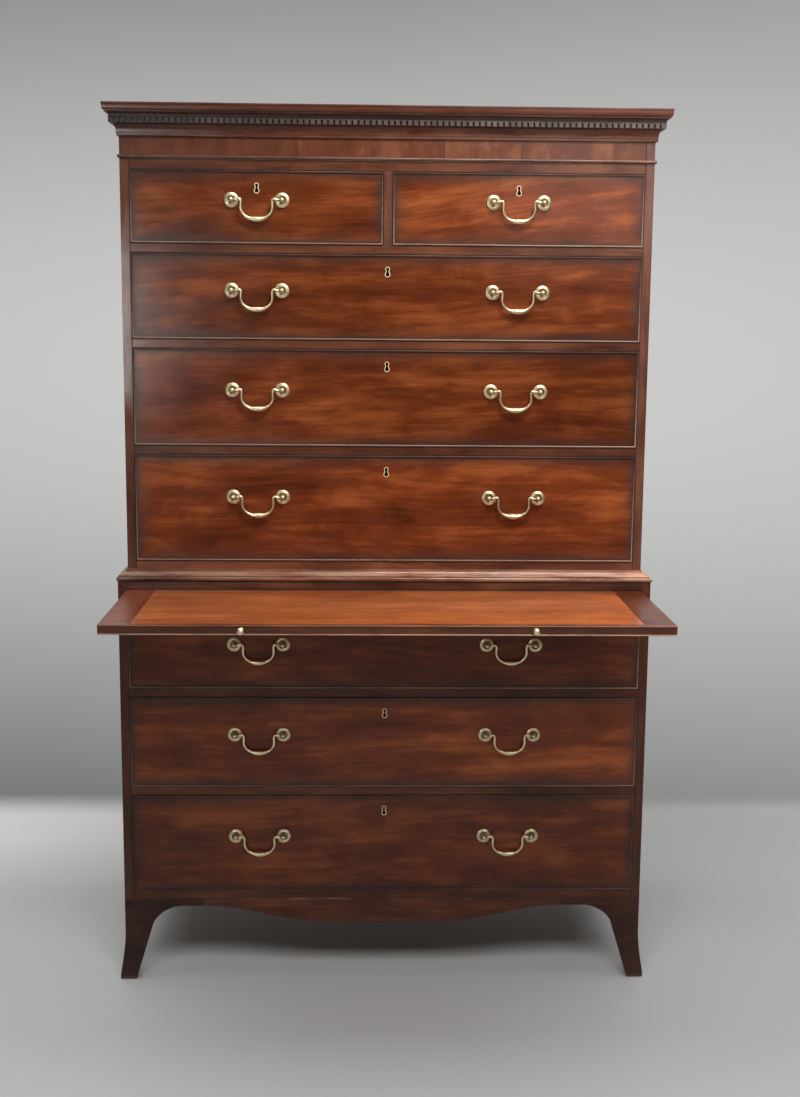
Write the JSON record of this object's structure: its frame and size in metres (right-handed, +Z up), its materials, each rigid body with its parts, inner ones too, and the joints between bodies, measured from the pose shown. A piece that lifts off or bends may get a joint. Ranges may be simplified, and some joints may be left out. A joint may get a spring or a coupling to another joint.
{
  "type": "chest on chest",
  "caption": "Tall two-part mahogany chest of drawers with a dentil cornice, a pull-out brushing slide, swan-neck brass bails, a serpentine apron and splayed bracket feet.",
  "frame": {"origin": "on the floor, under the middle of the bounding box with the slide drawn out as pictured", "axes": "+X to the viewer's right facing the drawers, +Y to the back, +Z up"},
  "size_m": [1.107, 0.9054, 1.78],
  "materials": {
    "case_mahogany": "old waxed dark mahogany",
    "front_mahogany": "figured mahogany, polished, with brass mounts",
    "slide_mahogany": "brighter polished mahogany",
    "deal": "bare aged softwood",
    "oak": "bare oak",
    "brass": "worn polished brass"
  },
  "bodies": {
    "case": {"lower_side_left": "case_mahogany", "lower_side_right": "case_mahogany", "lower_bottom_board": "case_mahogany", "lower_rail_2": "case_mahogany", "lower_rail_1": "case_mahogany", "slide_rail": "case_mahogany", "lower_top_board": "case_mahogany", "lower_back_boards": "deal", "waist_moulding": "case_mahogany", "front_apron": "case_mahogany", "foot_front_left": "case_mahogany", "foot_front_right": "case_mahogany", "foot_back_left": "case_mahogany", "foot_back_right": "case_mahogany", "upper_side_left": "case_mahogany", "upper_side_right": "case_mahogany", "upper_bottom_board": "case_mahogany", "upper_rail_3": "case_mahogany", "upper_rail_2": "case_mahogany", "upper_rail_1": "case_mahogany", "upper_top_board": "case_mahogany", "drawer_divider": "case_mahogany", "upper_back_boards": "deal", "frieze": "case_mahogany", "cornice": "case_mahogany"},
    "brushing_slide": {"slide_panel": "slide_mahogany", "slide_clamp_left": "slide_mahogany", "slide_clamp_right": "slide_mahogany", "slide_knob_left": "brass", "slide_knob_right": "brass"},
    "drawer_lower_top": {"drawer_front_lower_top": "front_mahogany", "drawer_box_lower_top": "oak"},
    "bail_lower_top_left": {"bail_lower_top_left": "brass"},
    "bail_lower_top_right": {"bail_lower_top_right": "brass"},
    "drawer_lower_middle": {"drawer_front_lower_middle": "front_mahogany", "drawer_box_lower_middle": "oak"},
    "bail_lower_middle_left": {"bail_lower_middle_left": "brass"},
    "bail_lower_middle_right": {"bail_lower_middle_right": "brass"},
    "drawer_lower_bottom": {"drawer_front_lower_bottom": "front_mahogany", "drawer_box_lower_bottom": "oak"},
    "bail_lower_bottom_left": {"bail_lower_bottom_left": "brass"},
    "bail_lower_bottom_right": {"bail_lower_bottom_right": "brass"},
    "drawer_upper_top": {"drawer_front_upper_top": "front_mahogany", "drawer_box_upper_top": "oak"},
    "bail_upper_top_left": {"bail_upper_top_left": "brass"},
    "bail_upper_top_right": {"bail_upper_top_right": "brass"},
    "drawer_upper_middle": {"drawer_front_upper_middle": "front_mahogany", "drawer_box_upper_middle": "oak"},
    "bail_upper_middle_left": {"bail_upper_middle_left": "brass"},
    "bail_upper_middle_right": {"bail_upper_middle_right": "brass"},
    "drawer_upper_bottom": {"drawer_front_upper_bottom": "front_mahogany", "drawer_box_upper_bottom": "oak"},
    "bail_upper_bottom_left": {"bail_upper_bottom_left": "brass"},
    "bail_upper_bottom_right": {"bail_upper_bottom_right": "brass"},
    "drawer_short_left": {"drawer_front_short_left": "front_mahogany", "drawer_box_short_left": "oak"},
    "bail_short_left": {"bail_short_left": "brass"},
    "drawer_short_right": {"drawer_front_short_right": "front_mahogany", "drawer_box_short_right": "oak"},
    "bail_short_right": {"bail_short_right": "brass"}
  },
  "joints": [
    {"name": "slide_travel", "type": "slide", "parent": "case", "child": "brushing_slide", "axis": [0, -1, 0], "range_m": [-0.344, 0.016]},
    {"name": "lower_top_travel", "type": "slide", "parent": "case", "child": "drawer_lower_top", "axis": [0, -1, 0], "range_m": [0, 0.4]},
    {"name": "bail_lower_top_left_swing", "type": "hinge", "parent": "drawer_lower_top", "child": "bail_lower_top_left", "pos_m": [-0.2575, -0.10375, 0.71856], "axis": [-1, 0, 0], "range_deg": [0, 100]},
    {"name": "bail_lower_top_right_swing", "type": "hinge", "parent": "drawer_lower_top", "child": "bail_lower_top_right", "pos_m": [0.2575, -0.10375, 0.71856], "axis": [-1, 0, 0], "range_deg": [0, 100]},
    {"name": "lower_middle_travel", "type": "slide", "parent": "case", "child": "drawer_lower_middle", "axis": [0, -1, 0], "range_m": [0, 0.4]},
    {"name": "bail_lower_middle_left_swing", "type": "hinge", "parent": "drawer_lower_middle", "child": "bail_lower_middle_left", "pos_m": [-0.2575, -0.10375, 0.52873], "axis": [-1, 0, 0], "range_deg": [0, 100]},
    {"name": "bail_lower_middle_right_swing", "type": "hinge", "parent": "drawer_lower_middle", "child": "bail_lower_middle_right", "pos_m": [0.2575, -0.10375, 0.52873], "axis": [-1, 0, 0], "range_deg": [0, 100]},
    {"name": "lower_bottom_travel", "type": "slide", "parent": "case", "child": "drawer_lower_bottom", "axis": [0, -1, 0], "range_m": [0, 0.4]},
    {"name": "bail_lower_bottom_left_swing", "type": "hinge", "parent": "drawer_lower_bottom", "child": "bail_lower_bottom_left", "pos_m": [-0.2575, -0.10375, 0.31089], "axis": [-1, 0, 0], "range_deg": [0, 100]},
    {"name": "bail_lower_bottom_right_swing", "type": "hinge", "parent": "drawer_lower_bottom", "child": "bail_lower_bottom_right", "pos_m": [0.2575, -0.10375, 0.31089], "axis": [-1, 0, 0], "range_deg": [0, 100]},
    {"name": "upper_top_travel", "type": "slide", "parent": "case", "child": "drawer_upper_top", "axis": [0, -1, 0], "range_m": [0, 0.4]},
    {"name": "bail_upper_top_left_swing", "type": "hinge", "parent": "drawer_upper_top", "child": "bail_upper_top_left", "pos_m": [-0.2575, -0.08575, 1.42726], "axis": [-1, 0, 0], "range_deg": [0, 100]},
    {"name": "bail_upper_top_right_swing", "type": "hinge", "parent": "drawer_upper_top", "child": "bail_upper_top_right", "pos_m": [0.2575, -0.08575, 1.42726], "axis": [-1, 0, 0], "range_deg": [0, 100]},
    {"name": "upper_middle_travel", "type": "slide", "parent": "case", "child": "drawer_upper_middle", "axis": [0, -1, 0], "range_m": [0, 0.4]},
    {"name": "bail_upper_middle_left_swing", "type": "hinge", "parent": "drawer_upper_middle", "child": "bail_upper_middle_left", "pos_m": [-0.2575, -0.08575, 1.23198], "axis": [-1, 0, 0], "range_deg": [0, 100]},
    {"name": "bail_upper_middle_right_swing", "type": "hinge", "parent": "drawer_upper_middle", "child": "bail_upper_middle_right", "pos_m": [0.2575, -0.08575, 1.23198], "axis": [-1, 0, 0], "range_deg": [0, 100]},
    {"name": "upper_bottom_travel", "type": "slide", "parent": "case", "child": "drawer_upper_bottom", "axis": [0, -1, 0], "range_m": [0, 0.4]},
    {"name": "bail_upper_bottom_left_swing", "type": "hinge", "parent": "drawer_upper_bottom", "child": "bail_upper_bottom_left", "pos_m": [-0.2575, -0.08575, 1.01796], "axis": [-1, 0, 0], "range_deg": [0, 100]},
    {"name": "bail_upper_bottom_right_swing", "type": "hinge", "parent": "drawer_upper_bottom", "child": "bail_upper_bottom_right", "pos_m": [0.2575, -0.08575, 1.01796], "axis": [-1, 0, 0], "range_deg": [0, 100]},
    {"name": "short_left_travel", "type": "slide", "parent": "case", "child": "drawer_short_left", "axis": [0, -1, 0], "range_m": [0, 0.4]},
    {"name": "bail_short_left_swing", "type": "hinge", "parent": "drawer_short_left", "child": "bail_short_left", "pos_m": [-0.2565, -0.08575, 1.60118], "axis": [-1, 0, 0], "range_deg": [0, 100]},
    {"name": "short_right_travel", "type": "slide", "parent": "case", "child": "drawer_short_right", "axis": [0, -1, 0], "range_m": [0, 0.4]},
    {"name": "bail_short_right_swing", "type": "hinge", "parent": "drawer_short_right", "child": "bail_short_right", "pos_m": [0.2565, -0.08575, 1.60118], "axis": [-1, 0, 0], "range_deg": [0, 100]}
  ]
}
